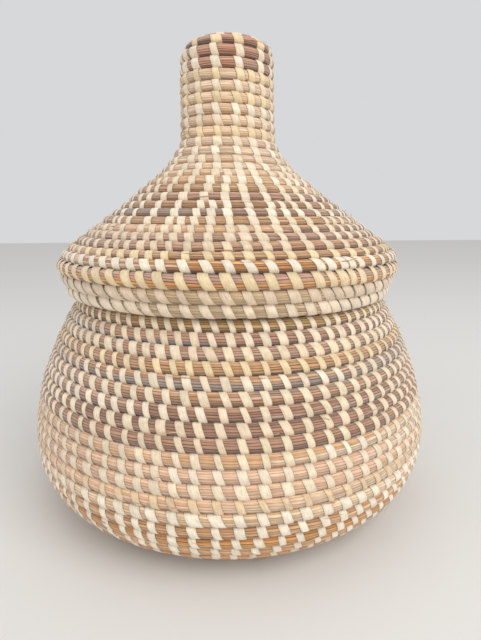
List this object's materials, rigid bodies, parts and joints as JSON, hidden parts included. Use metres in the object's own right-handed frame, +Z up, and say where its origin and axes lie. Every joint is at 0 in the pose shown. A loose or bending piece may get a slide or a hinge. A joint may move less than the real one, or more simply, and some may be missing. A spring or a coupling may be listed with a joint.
{
  "type": "coiled basket with lid",
  "caption": "Round-bellied coiled grass basket with a peaked, knobbed lid that lifts off; stores small dry things and stands on a flat coiled base.",
  "frame": {"origin": "centre of the flat base, on the surface that the basket stands on", "axes": "+Z up along the basket's axis, towards the lid's knob; -Y faces the viewer of the picture"},
  "size_m": [0.2717, 0.2692, 0.2974],
  "materials": {
    "straw_grass": "matte dried grass",
    "cream_grass": "matte dried grass",
    "tan_grass": "matte dried grass",
    "amber_grass": "matte dried grass",
    "gold_grass": "matte dried grass",
    "mauve_grass": "matte dried grass",
    "grey_grass": "matte dried grass",
    "russet_grass": "matte dried grass",
    "base_grass": "matte dried grass",
    "palm_strip": "satin dried palm leaf"
  },
  "bodies": {
    "basket": {"basket_start_knot": "base_grass", "base_centre_coil": "base_grass", "base_outer_coil": "base_grass", "heel_coil": "amber_grass", "foot_amber_coil": "amber_grass", "foot_straw_coil": "tan_grass", "belly_tan_coil": "tan_grass", "belly_mauve_coil": "mauve_grass", "shoulder_gold_coil": "gold_grass", "shoulder_mauve_coil": "mauve_grass", "mouth_rim_coil": "gold_grass"},
    "lid": {"lid_start_knot": "russet_grass", "knob_russet_coil": "russet_grass", "neck_straw_coil": "straw_grass", "flare_cream_coil": "cream_grass", "cone_amber_coil": "amber_grass", "cone_grey_coil": "grey_grass", "cone_mauve_coil": "mauve_grass", "cone_gold_coil": "gold_grass", "brim_coil": "gold_grass", "skirt_coil": "straw_grass"}
  },
  "joints": [
    {"name": "lid_lift", "type": "slide", "parent": "basket", "child": "lid", "axis": [0, 0, 1], "range_m": [0, 0.15]}
  ]
}
